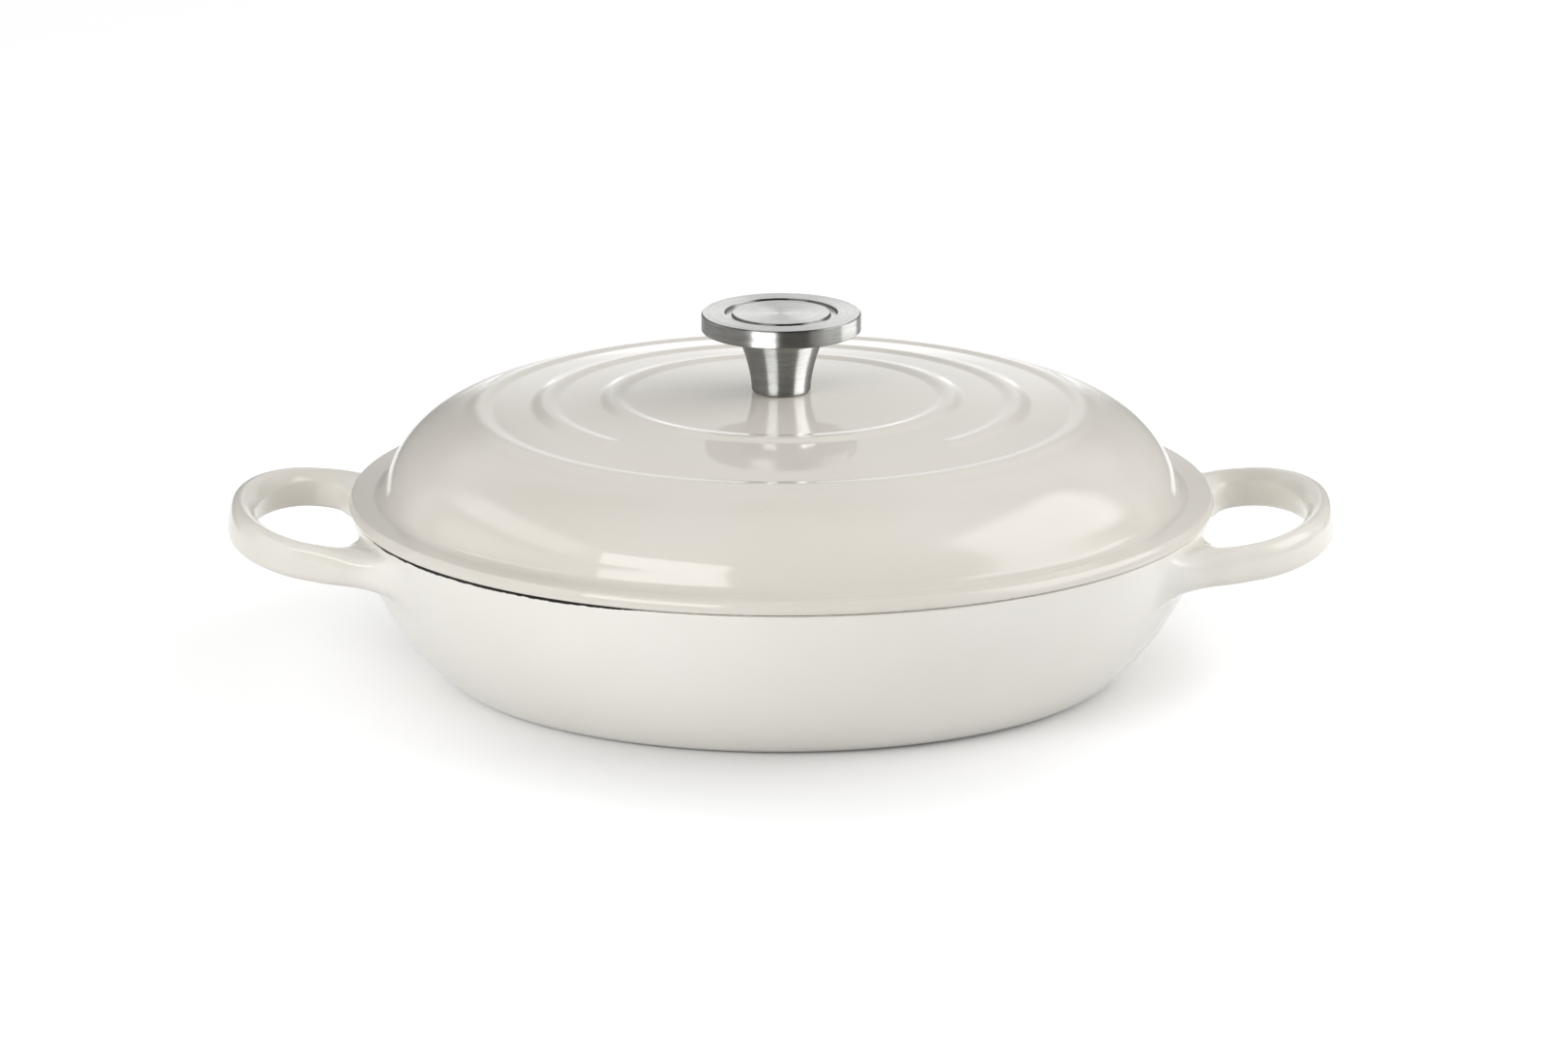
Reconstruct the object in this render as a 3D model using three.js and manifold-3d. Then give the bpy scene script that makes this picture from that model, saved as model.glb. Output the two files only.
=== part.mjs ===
// Shallow round casserole: an enamelled iron pot with two loop handles cast in one with it,
// a loose domed lid with raised rings, and a turned steel knob held by a screw from inside.
// Millimetres, +Z up, the origin under the middle of the base. The front is -Y.
import * as THREE from "three";
import Module from "manifold-3d";

// Pot
const RIM_RADIUS = 153;
const POT_HEIGHT = 59.3;
const FOOT_INSET = 35;
const WALL_LEAN_DEG = 8;
const POT_WALL = 3.8;
const POT_FLOOR = 4.4;
const BASE_ROUND = 6;
const FLOOR_FILLET = 16;
const RIM_ROUND = 1.2;

// Handles: reach and bend are measured outwards from the pot's rim, widths from the middle
const HANDLE_REACH = 44;
const HANDLE_BEND = 17;
const HANDLE_TIP_BAR = 9;
const HANDLE_SIDE_BAR = 7.8;
const HANDLE_HALF_GAP = 48.8;
const HANDLE_FLARE = 13;
const HANDLE_WEB = 32;
const HANDLE_WEB_INSET = 1.8;
const HANDLE_HEIGHT = 13.6;
const HANDLE_ROUND = 3.5;
const HANDLE_RISE_DEG = 7;
const HANDLE_DROP = 8.2;
const HANDLE_ROOT = 20;

// Lid
const LID_OVERHANG = 1;
const LID_SEAT_GAP = 0.3;
const LID_RIM_THICKNESS = 4.6;
const LID_RIM_ROUND = 2;
const LID_RIM_WIDTH = 11.5;
const LID_RISE = 37.4;
const LID_WALL = 3.5;
const CROWN_RADIUS = 820;
const SHOULDER_RADIUS = 36;
const SIDE_LEAN_DEG = 20;
const SIDE_FILLET = 6;
const RIB_CLEARANCE = 1.2;
const RIB_WIDTH = 3.4;
const RIB_DEPTH = 3.2;

// Raised rings on the lid, counted inwards from the shoulder; one stops short of the front
const RING_COUNT = 3;
const RING_EDGE = 3.7;
const RING_PITCH = 23.7;
const RING_WIDTH = 7.2;
const RING_HEIGHT = 1.6;
const BROKEN_RING = 1;
const BREAK_HALF_DEG = 44;
const BREAK_TAPER_DEG = 10;

// Knob and what holds it
const STEM_HEIGHT = 22.1;
const STEM_FOOT_RADIUS = 10.5;
const STEM_FOOT_ROUND = 1.2;
const STEM_FLARE = 5.6;
const STEM_CURVE = 1.6;
const SPIGOT_RADIUS = 6;
const SPIGOT_HEIGHT = 2.6;
const CAP_RADIUS = 28.4;
const CAP_THICKNESS = 6.6;
const CAP_CHAMFER = 0.4;
const CAP_LAND = 8.2;
const CAP_GROOVE_WIDTH = 2.9;
const CAP_GROOVE_DEPTH = 1.1;
const CAP_DISH = 0.5;
const SCREW_RADIUS = 3;
const SCREW_GRIP = 11;
const SCREW_HEAD_RADIUS = 6;
const SCREW_HEAD_HEIGHT = 3.4;
const DRIVE_WIDTH = 1.3;
const DRIVE_LENGTH = 6;
const DRIVE_DEPTH = 1.8;
const WASHER_RADIUS = 8;
const WASHER_THICKNESS = 1.2;
const FIT_GAP = 0.3;
const SEAT_GAP = 0.1;

// Fineness of the round forms
const ROUND_STEPS = 60;
const KNOB_STEPS = 36;
const SCREW_STEPS = 24;

const wasm = await Module();
wasm.setup();

const v2 = (r, z) => new THREE.Vector2(r, z);
const rad = THREE.MathUtils.degToRad;
const lastOf = (points) => points[points.length - 1];
const onCircle = (centre, radius, angle) =>
  v2(centre.x + radius * Math.cos(angle), centre.y + radius * Math.sin(angle));

// Points along an arc, both ends included.
function arc(centre, radius, from, to, steps) {
  const points = [];
  for (let i = 0; i <= steps; i++) {
    points.push(onCircle(centre, radius, from + ((to - from) * i) / steps));
  }
  return points;
}

// Leaves out points that fall on the one before them.
function distinct(points) {
  return points.filter((p, i) => i === 0 || p.distanceTo(points[i - 1]) > 0.02);
}

// Revolves a profile of radius and height about Z, with its first column at the front.
function revolve(profile, steps) {
  const geometry = new THREE.LatheGeometry(distinct(profile), steps);
  geometry.rotateX(Math.PI / 2);
  return geometry;
}

// Turns triangles into a solid that can be joined and cut.
function solid(geometry) {
  const position = geometry.attributes.position;
  const count = geometry.index ? geometry.index.count : position.count;
  const known = new Map();
  const vertices = [];
  const triangles = [];
  const corner = (i) => {
    const at = geometry.index ? geometry.index.getX(i) : i;
    const p = [position.getX(at), position.getY(at), position.getZ(at)];
    const key = p.map((v) => Math.round(v * 2000)).join(" ");
    if (!known.has(key)) {
      known.set(key, vertices.length / 3);
      vertices.push(...p);
    }
    return known.get(key);
  };
  for (let i = 0; i < count; i += 3) {
    const [a, b, c] = [corner(i), corner(i + 1), corner(i + 2)];
    if (a !== b && b !== c && c !== a) triangles.push(a, b, c);
  }
  const mesh = new wasm.Mesh({
    numProp: 3,
    vertProperties: new Float32Array(vertices),
    triVerts: new Uint32Array(triangles),
  });
  return new wasm.Manifold(mesh);
}

function geometryOf(body) {
  const mesh = body.getMesh();
  const geometry = new THREE.BufferGeometry();
  geometry.setAttribute("position", new THREE.BufferAttribute(mesh.vertProperties, 3));
  geometry.setIndex(new THREE.BufferAttribute(mesh.triVerts, 1));
  geometry.computeVertexNormals();
  return geometry;
}

// The wall's outside is one arc that leaves the foot and reaches the rim at the stated lean.
const lean = rad(WALL_LEAN_DEG);
const rimPoint = v2(RIM_RADIUS, POT_HEIGHT);
const inwards = v2(-Math.cos(lean), Math.sin(lean));
const toFoot = v2(-FOOT_INSET, -POT_HEIGHT);
const wallRadius = toFoot.lengthSq() / (2 * toFoot.dot(inwards));
const wallCentre = rimPoint.clone().addScaledVector(inwards, wallRadius);
const wallAngle = (radius, z) => Math.asin((z - wallCentre.y) / radius);
const hollowRadius = (z) =>
  onCircle(wallCentre, wallRadius - POT_WALL, wallAngle(wallRadius - POT_WALL, z)).x;

// A rounding that runs from the level z into the inside of a wall arc of the given radius.
function cornerArc(radius, round, z, steps) {
  const height = z + round - wallCentre.y;
  const reach = Math.sqrt((radius - round) ** 2 - height ** 2);
  const centre = v2(wallCentre.x + reach, z + round);
  return arc(centre, round, -Math.PI / 2, Math.atan2(height, reach), steps);
}

function wallArc(radius, corner, steps) {
  const foot = wallAngle(radius, lastOf(corner).y);
  const top = wallAngle(radius, POT_HEIGHT - RIM_ROUND);
  return arc(wallCentre, radius, foot, top, steps);
}

function potOutside() {
  const corner = cornerArc(wallRadius, BASE_ROUND, 0, 3);
  const wall = wallArc(wallRadius, corner, 9);
  const edge = lastOf(wall);
  const rim = arc(v2(edge.x - RIM_ROUND, edge.y), RIM_ROUND, 0, Math.PI / 2, 3);
  return [v2(0, 0), ...corner, ...wall, ...rim, v2(0, POT_HEIGHT)];
}

// The hollow opens out round the rim's inner edge and runs on above the rim.
function potInside() {
  const radius = wallRadius - POT_WALL;
  const corner = cornerArc(radius, FLOOR_FILLET, POT_FLOOR, 4);
  const wall = wallArc(radius, corner, 8);
  const edge = lastOf(wall);
  const rim = arc(v2(edge.x + RIM_ROUND, edge.y), -RIM_ROUND, 0, -Math.PI / 2, 3);
  const mouth = v2(edge.x + RIM_ROUND, POT_HEIGHT + 5);
  return [v2(0, POT_FLOOR), ...corner, ...wall, ...rim, mouth, v2(0, mouth.y)];
}

// Plan of one loop handle: a D-shaped bar whose roots widen into the wall. It runs on inside the
// wall, where the pot's hollow later cuts it off.
function handlePlan() {
  const tip = RIM_RADIUS + HANDLE_REACH;
  const bend = RIM_RADIUS + HANDLE_BEND;
  const outer = HANDLE_HALF_GAP + HANDLE_SIDE_BAR;
  const root = outer + HANDLE_FLARE;
  const back = Math.sqrt((RIM_RADIUS - HANDLE_ROOT) ** 2 - root ** 2);
  const turn = 0.7 * HANDLE_BEND;

  const shape = new THREE.Shape();
  shape.moveTo(back, -root);
  shape.quadraticCurveTo(RIM_RADIUS, -outer - 0.4 * HANDLE_FLARE, bend, -outer);
  shape.bezierCurveTo(bend + turn, -outer + 0.2 * turn, tip, -0.62 * outer, tip, 0);
  shape.bezierCurveTo(tip, 0.62 * outer, bend + turn, outer - 0.2 * turn, bend, outer);
  shape.quadraticCurveTo(RIM_RADIUS, outer + 0.4 * HANDLE_FLARE, back, root);
  shape.closePath();

  const half = HANDLE_HALF_GAP;
  const gapTip = tip - HANDLE_TIP_BAR;
  const gapBend = bend - 0.5 * HANDLE_BEND;
  const heel = RIM_RADIUS - 2 * POT_WALL;
  const foot = half - 1.25 * HANDLE_WEB;
  const web = RIM_RADIUS - HANDLE_WEB_INSET;
  const webFoot = half - 0.6 * HANDLE_WEB;
  const gap = new THREE.Path();
  gap.moveTo(heel, foot);
  gap.bezierCurveTo(web, webFoot, web, half, gapBend, half);
  gap.bezierCurveTo(gapBend + turn, half, gapTip, 0.57 * half, gapTip, 0);
  gap.bezierCurveTo(gapTip, -0.57 * half, gapBend + turn, -half, gapBend, -half);
  gap.bezierCurveTo(web, -half, web, -webFoot, heel, -foot);
  gap.closePath();
  shape.holes.push(gap);
  return shape;
}

// One handle on the +X side, tilted up about the line where it leaves the wall.
function handle() {
  const most = 0.46 * Math.min(HANDLE_TIP_BAR, HANDLE_SIDE_BAR + 1, HANDLE_HEIGHT);
  const round = Math.min(HANDLE_ROUND, most);
  const geometry = new THREE.ExtrudeGeometry(handlePlan(), {
    depth: HANDLE_HEIGHT - 2 * round,
    curveSegments: 8,
    bevelEnabled: true,
    bevelThickness: round,
    bevelSize: round,
    bevelOffset: -round,
    bevelSegments: 3,
  });
  geometry.translate(-RIM_RADIUS, 0, round - HANDLE_HEIGHT / 2);
  geometry.rotateY(-rad(HANDLE_RISE_DEG));
  geometry.translate(RIM_RADIUS, 0, POT_HEIGHT - HANDLE_DROP);
  return geometry;
}

function makePot() {
  const right = handle();
  const left = right.clone().rotateZ(Math.PI);
  const bowl = solid(revolve(potOutside(), ROUND_STEPS));
  const casting = bowl.add(solid(right)).add(solid(left));
  return geometryOf(casting.subtract(solid(revolve(potInside(), ROUND_STEPS))));
}

// The lid's section, with its own height 0 at the underside of the rim: a shallow crown,
// a rounder shoulder that meets it smoothly, a leaning side and a flat rim.
const lidRadius = RIM_RADIUS + LID_OVERHANG;
const lidSeat = POT_HEIGHT + LID_SEAT_GAP;
const lidTop = LID_RIM_THICKNESS + LID_RISE;
const lidEdge = Math.min(LID_RIM_ROUND, 0.48 * LID_RIM_THICKNESS);
const sideLean = rad(SIDE_LEAN_DEG);
const sideOut = v2(Math.cos(sideLean), Math.sin(sideLean));
const sideUp = v2(-Math.sin(sideLean), Math.cos(sideLean));
const sideFoot = v2(lidRadius - LID_RIM_WIDTH, LID_RIM_THICKNESS);
const crownCentre = v2(0, lidTop - CROWN_RADIUS);
const filletSpan = (1 - sideOut.y) / sideOut.x;
const sideFillet = Math.min(SIDE_FILLET, (0.95 * (LID_RIM_WIDTH - lidEdge)) / filletSpan);

// The largest shoulder that still leaves room for the fillet at the foot of the side.
function shoulderLimit() {
  const end = sideFoot.clone().addScaledVector(sideUp, sideFillet * filletSpan);
  const from = end.sub(crownCentre);
  return (CROWN_RADIUS ** 2 - from.lengthSq()) / (2 * (CROWN_RADIUS - from.dot(sideOut)));
}

const shoulderRadius = Math.min(SHOULDER_RADIUS, shoulderLimit());

// The shoulder's centre: it touches the crown's circle from inside and the leaning side.
function findShoulder() {
  const start = sideFoot.clone().addScaledVector(sideOut, -shoulderRadius);
  const from = start.clone().sub(crownCentre);
  const b = from.dot(sideUp);
  const c = from.lengthSq() - (CROWN_RADIUS - shoulderRadius) ** 2;
  return start.addScaledVector(sideUp, -b + Math.sqrt(b * b - c));
}

const shoulderCentre = findShoulder();
const crownTurn = shoulderCentre.clone().sub(crownCentre).angle();
const crownEdge = onCircle(crownCentre, CROWN_RADIUS, crownTurn).x;
const crownZ = (r, radius) => crownCentre.y + Math.sqrt(radius * radius - r * r);
const screwBore = SCREW_RADIUS + FIT_GAP;
const ringRadii = Array.from({ length: RING_COUNT }, (_, i) =>
  crownEdge - RING_EDGE - i * RING_PITCH);

// The underside follows the top one wall in, and ends in a rib that drops inside the pot's rim.
function lidUnderside() {
  const ribOut = hollowRadius(lidSeat - RIB_DEPTH) - RIB_CLEARANCE;
  const ribIn = ribOut - RIB_WIDTH;
  const taper = 0.1 * RIB_WIDTH;
  const foot = sideFoot.clone().addScaledVector(sideOut, -LID_WALL);
  const sideEnd = foot.addScaledVector(sideUp, -foot.y / sideUp.y);
  const points = [];
  for (let i = 0; i <= 3; i++) {
    const r = screwBore + ((crownEdge - screwBore) * i) / 4;
    points.push(v2(r, crownZ(r, CROWN_RADIUS - LID_WALL)));
  }
  points.push(...arc(shoulderCentre, shoulderRadius - LID_WALL, crownTurn, sideLean, 5));
  points.push(v2(Math.min(sideEnd.x, ribIn - 0.5), 0), v2(ribIn, 0));
  points.push(v2(ribIn + taper, -RIB_DEPTH), v2(ribOut - taper, -RIB_DEPTH), v2(ribOut, 0));
  return points;
}

function lidRim() {
  const r = lidRadius - lidEdge;
  const low = arc(v2(r, lidEdge), lidEdge, -Math.PI / 2, 0, 2);
  const high = arc(v2(r, LID_RIM_THICKNESS - lidEdge), lidEdge, 0, Math.PI / 2, 3);
  const centre = sideFoot.clone().add(v2(sideFillet * filletSpan, sideFillet));
  const valley = arc(centre, sideFillet, -Math.PI / 2, -Math.PI + sideLean, 3);
  return [...low, ...high, ...valley];
}

// Radii of the profile points over the crown, outside to inside, closer together on the rings.
function crownRadii() {
  const radii = [screwBore];
  for (const middle of ringRadii) {
    for (const share of [-0.5, -0.3, -0.13, 0.13, 0.3, 0.5]) {
      radii.push(middle + share * RING_WIDTH);
    }
  }
  const inside = radii.filter((r) => r >= screwBore && r < crownEdge - 0.05);
  return inside.sort((a, b) => b - a);
}

// Height of ring i at a radius and an angle from the front.
function ringHeight(i, r, angle) {
  const away = Math.abs(r - ringRadii[i]) / RING_WIDTH;
  const swell = away < 0.5 ? (1 + Math.cos(2 * Math.PI * away)) / 2 : 0;
  const past = (Math.abs(angle) - rad(BREAK_HALF_DEG)) / rad(BREAK_TAPER_DEG);
  const full = i === BROKEN_RING ? THREE.MathUtils.smoothstep(past, 0, 1) : 1;
  return RING_HEIGHT * swell * full;
}

// A revolved shell whose crown is then raised along the rings.
function makeLid() {
  const shoulder = arc(shoulderCentre, shoulderRadius, sideLean, crownTurn, 7);
  const crown = crownRadii().map((r) => v2(r, crownZ(r, CROWN_RADIUS)));
  const profile = distinct([...lidUnderside(), ...lidRim(), ...shoulder, ...crown]);
  const crownStart = profile.length - crown.length;
  const column = profile.length + 1;
  const geometry = new THREE.LatheGeometry([...profile, profile[0].clone()], ROUND_STEPS);
  const position = geometry.attributes.position;
  for (let i = 0; i < position.count; i++) {
    const j = i % column;
    if (j < crownStart || j === profile.length) continue;
    const r = Math.hypot(position.getX(i), position.getZ(i));
    const angle = Math.atan2(position.getX(i), position.getZ(i));
    let lift = 0;
    for (let ring = 0; ring < RING_COUNT; ring++) lift += ringHeight(ring, r, angle);
    position.setY(i, position.getY(i) + lift);
  }
  geometry.rotateX(Math.PI / 2);
  geometry.computeVertexNormals();
  return geometry;
}

const screwReach = Math.min(SCREW_GRIP, STEM_HEIGHT - 4);

// A flared stem, height 0 at its foot, with a blind bore for the screw and a spigot on top.
function makeStem() {
  const round = STEM_FOOT_ROUND;
  const boreTop = screwReach + 1.5;
  const foot = arc(v2(STEM_FOOT_RADIUS - round, round), round, -Math.PI / 2, 0, 3);
  const flare = [];
  const steps = 7;
  for (let i = 1; i <= steps; i++) {
    const t = i / steps;
    const z = round + (STEM_HEIGHT - round) * t;
    flare.push(v2(STEM_FOOT_RADIUS + STEM_FLARE * t ** STEM_CURVE, z));
  }
  const top = STEM_HEIGHT + SPIGOT_HEIGHT;
  const spigot = [v2(SPIGOT_RADIUS, STEM_HEIGHT), v2(SPIGOT_RADIUS, top), v2(0, top)];
  const bore = [v2(0, boreTop), v2(screwBore, boreTop), v2(screwBore, 0)];
  return revolve([...bore, ...foot, ...flare, ...spigot], KNOB_STEPS);
}

// The disc, height 0 at its underside: a socket below, and on top a flat outer land, one turned
// groove and a slightly dished middle.
function makeCap() {
  const c = CAP_CHAMFER;
  const high = CAP_THICKNESS;
  const socket = SPIGOT_RADIUS + FIT_GAP;
  const socketTop = SPIGOT_HEIGHT + FIT_GAP;
  const grooveOut = CAP_RADIUS - CAP_LAND;
  const grooveIn = grooveOut - CAP_GROOVE_WIDTH;
  const grooveFloor = high - CAP_GROOVE_DEPTH;
  const slope = 0.15 * CAP_GROOVE_WIDTH;
  return revolve([
    v2(0, socketTop), v2(socket, socketTop), v2(socket, 0),
    v2(CAP_RADIUS - c, 0), v2(CAP_RADIUS, c),
    v2(CAP_RADIUS, high - c), v2(CAP_RADIUS - c, high),
    v2(grooveOut, high), v2(grooveOut - slope, grooveFloor),
    v2(grooveIn + slope, grooveFloor), v2(grooveIn, high),
    v2(grooveIn / 2, high - 0.75 * CAP_DISH), v2(0, high - CAP_DISH),
  ], KNOB_STEPS);
}

// A flat washer, height 0 at its top.
function makeWasher() {
  const low = -WASHER_THICKNESS;
  const outside = [v2(screwBore, low), v2(WASHER_RADIUS, low), v2(WASHER_RADIUS, 0)];
  return revolve([...outside, v2(screwBore, 0), v2(screwBore, low)], SCREW_STEPS);
}

// A pan-head screw pointing up, height 0 under its head, with a cross recess in the head.
function makeScrew(length) {
  const r = SCREW_HEAD_RADIUS;
  const h = SCREW_HEAD_HEIGHT;
  const head = [v2(0, -h), v2(0.55 * r, -0.94 * h), v2(0.82 * r, -0.75 * h)];
  head.push(v2(0.95 * r, -0.5 * h), v2(r, -0.25 * h), v2(r, 0));
  const shank = [v2(SCREW_RADIUS, 0), v2(SCREW_RADIUS, length - 1)];
  const end = [v2(0.75 * SCREW_RADIUS, length), v2(0, length)];
  let body = solid(revolve([...head, ...shank, ...end], SCREW_STEPS));
  for (const turn of [0, Math.PI / 2]) {
    const slot = new THREE.BoxGeometry(DRIVE_LENGTH, DRIVE_WIDTH, 2 * DRIVE_DEPTH);
    slot.rotateZ(turn).translate(0, 0, -h);
    body = body.subtract(solid(slot));
  }
  return geometryOf(body);
}

function finish(color, roughness, metalness) {
  return new THREE.MeshStandardMaterial({ color, roughness, metalness });
}

const enamelPot = finish("#ebe8e1", 0.16, 0);
const enamelLid = finish("#e0dbd0", 0.14, 0);
const steel = finish("#b9b9b7", 0.3, 1);
const zincSteel = finish("#c4c4c0", 0.35, 1);

// Puts a named piece into a group at a height of the group's own.
function add(group, name, geometry, material, z = 0) {
  const mesh = new THREE.Mesh(geometry, material);
  mesh.name = name;
  mesh.position.z = z;
  group.add(mesh);
}

const part = new THREE.Group();
part.name = "casserole";
add(part, "pot", makePot(), enamelPot);

const lidGroup = new THREE.Group();
lidGroup.position.z = lidSeat;
part.add(lidGroup);
add(lidGroup, "lid", makeLid(), enamelLid);

const washerTop = crownZ(WASHER_RADIUS, CROWN_RADIUS - LID_WALL) - SEAT_GAP;
const headTop = washerTop - WASHER_THICKNESS - SEAT_GAP;
const knobFoot = lidTop + SEAT_GAP;
add(lidGroup, "screw_washer", makeWasher(), zincSteel, washerTop);
add(lidGroup, "knob_screw", makeScrew(knobFoot + screwReach - headTop), zincSteel, headTop);

const knobGroup = new THREE.Group();
knobGroup.position.z = knobFoot;
lidGroup.add(knobGroup);
add(knobGroup, "knob_stem", makeStem(), steel);
add(knobGroup, "knob_cap", makeCap(), steel, STEM_HEIGHT + SEAT_GAP);

export default part;
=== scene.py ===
"""A shallow enamelled casserole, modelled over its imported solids.

Each operator makes one piece, or a few like pieces, in the place that the solids give, and the last
one sets the floor, the light and the camera. All lengths are metres, +Z is up, and the front is -Y.
"""

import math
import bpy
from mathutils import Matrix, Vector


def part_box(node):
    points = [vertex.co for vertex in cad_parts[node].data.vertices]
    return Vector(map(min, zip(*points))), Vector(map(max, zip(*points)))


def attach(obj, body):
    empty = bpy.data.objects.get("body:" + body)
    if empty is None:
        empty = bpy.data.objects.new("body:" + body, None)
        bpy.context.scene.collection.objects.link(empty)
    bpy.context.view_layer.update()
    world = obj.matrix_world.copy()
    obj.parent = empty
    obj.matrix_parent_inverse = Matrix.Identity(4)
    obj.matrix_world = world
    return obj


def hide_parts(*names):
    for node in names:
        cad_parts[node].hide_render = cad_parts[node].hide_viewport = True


bl_info = {
    "name": "Enamelled casserole",
    "version": (1, 0, 0),
    "blender": (4, 5, 0),
    "location": "View3D > Sidebar > Casserole",
    "description": "Makes a shallow casserole with loop handles, a ringed lid and a turned knob",
    "category": "Add Mesh",
}

import bmesh
import bpy
from bpy.props import FloatProperty, FloatVectorProperty, IntProperty, PointerProperty
from mathutils import Vector

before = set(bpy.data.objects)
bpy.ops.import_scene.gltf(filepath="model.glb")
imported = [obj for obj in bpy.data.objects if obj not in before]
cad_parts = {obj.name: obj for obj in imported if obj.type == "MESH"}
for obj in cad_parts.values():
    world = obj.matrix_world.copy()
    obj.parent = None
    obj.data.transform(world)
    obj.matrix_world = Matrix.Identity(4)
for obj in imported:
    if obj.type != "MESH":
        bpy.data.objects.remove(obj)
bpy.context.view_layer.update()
LID_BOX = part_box("lid")
STEM_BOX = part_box("knob_stem")
CAP_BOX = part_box("knob_cap")
SCREW_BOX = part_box("knob_screw")
WASHER_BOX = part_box("screw_washer")

# Radius of the holes that the knob's screw passes
SCREW_HOLE = 0.0033


def paint(red, green, blue):
    """A colour given in everyday 0 to 255 values, as the linear values that shaders take."""
    out = []
    for value in (red, green, blue):
        v = value / 255
        out.append(v / 12.92 if v <= 0.04045 else ((v + 0.055) / 1.055) ** 2.4)
    return tuple(out)


def length(name, description, default):
    """A size property in metres."""
    return FloatProperty(
        name=name, description=description, default=default, min=0.0, precision=4, unit="LENGTH"
    )


def colour(name, description, default):
    """A colour property."""
    return FloatVectorProperty(
        name=name, description=description, default=default, size=3, min=0, max=1, subtype="COLOR"
    )


def grey(name, description, value):
    """A colour property with one value in all channels."""
    return colour(name, description, (value, value, value))


def tilt(name, description, degrees):
    """An angle property, given in degrees."""
    return FloatProperty(
        name=name, description=description, default=math.radians(degrees), subtype="ANGLE"
    )


def watts(name, description, default):
    """The power of a lamp, in watts."""
    return FloatProperty(name=name, description=description, default=default, min=0, unit="POWER")


def light(name, description, default):
    """An amount of light, where 1 shows as white."""
    return FloatProperty(name=name, description=description, default=default, min=0)


class PotSettings(bpy.types.PropertyGroup):
    """Sizes and colours of the pot with its two handles."""

    rim_radius: length("Rim radius", "Outer radius at the rim", 0.153)
    height: length("Height", "Height of the rim above the base", 0.0593)
    foot_inset: length("Foot inset", "How far the foot stands in from the rim", 0.035)
    wall: length("Wall", "Thickness of the wall", 0.0038)
    floor: length("Floor", "Thickness of the floor", 0.0044)
    handle_reach: length("Handle reach", "How far a handle stands out from the rim", 0.044)
    bar_width: length("Bar width", "Width of the handle bar", 0.009)
    bar_height: length("Bar height", "Height of the handle bar", 0.0136)
    handle_rise: tilt("Handle rise", "Upward tilt of the handles", 7)
    enamel: colour("Enamel", "Outside enamel", paint(243, 240, 234))
    # The shade also darkens the handles, as painted shade
    shade: colour("Enamel shade", "Enamel where it lies thin", paint(234, 230, 221))
    lining: colour("Lining", "Enamel inside the pot", paint(226, 216, 196))
    rim: colour("Rim", "Matt enamel on the bare edge of the rim", paint(38, 36, 35))


class LidSettings(bpy.types.PropertyGroup):
    """Sizes and colours of the lid."""

    radius: length("Radius", "Outer radius of the lid", LID_BOX[1].x)
    seat: length("Seat", "Height of the underside of the rim", 0.0596)
    rim_thickness: length("Rim thickness", "Thickness of the flat rim", 0.0046)
    rim_width: length("Rim width", "Width of the flat rim", 0.0115)
    wall: length("Wall", "Thickness of the lid", 0.0035)
    top: length("Top", "Height of the middle of the crown", 0.1016)
    ring_height: length("Ring height", "How far a raised ring stands up", 0.0008)
    ring_width: length("Ring width", "Width of a raised ring at its foot", 0.0112)
    ring_edge: length("Ring edge", "Width of each sloping edge of a raised ring", 0.0052)
    break_angle: tilt("Ring break", "Half angle at the front that the middle ring leaves bare", 43)
    enamel: colour("Enamel", "Enamel on top", paint(229, 224, 215))
    shade: colour("Enamel shade", "Enamel where it lies thin", paint(219, 213, 202))


class KnobSettings(bpy.types.PropertyGroup):
    """Sizes and colours of the knob and its fasteners."""

    radius: length("Radius", "Radius of the disc", CAP_BOX[1].x)
    land: length("Land", "Width of the flat outer land on the disc", 0.0082)
    groove: length("Groove", "Width of the turned groove", 0.0029)
    groove_depth: length("Groove depth", "Depth of the turned groove", 0.0011)
    foot_radius: length("Foot radius", "Radius of the stem at the lid", 0.0105)
    flare: length("Flare", "How much wider the stem is at the top", 0.0056)
    bore: length("Bore", "Radius of the hole for the screw", SCREW_HOLE)
    steps: IntProperty(
        name="Steps", description="Segments round a turned piece", default=144, min=12
    )
    # Painted light and shade: one steel in two copies, darker for the side and stem, lighter for the
    # disc's face
    steel: colour("Steel", "Turned stainless steel", paint(168, 168, 166))
    shade: colour("Steel shade", "Steel in the turning marks", paint(140, 140, 138))
    face: colour("Face", "Brushed face of the disc", paint(238, 238, 236))
    face_shade: colour("Face shade", "Face in the brush marks", paint(220, 220, 218))


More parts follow.
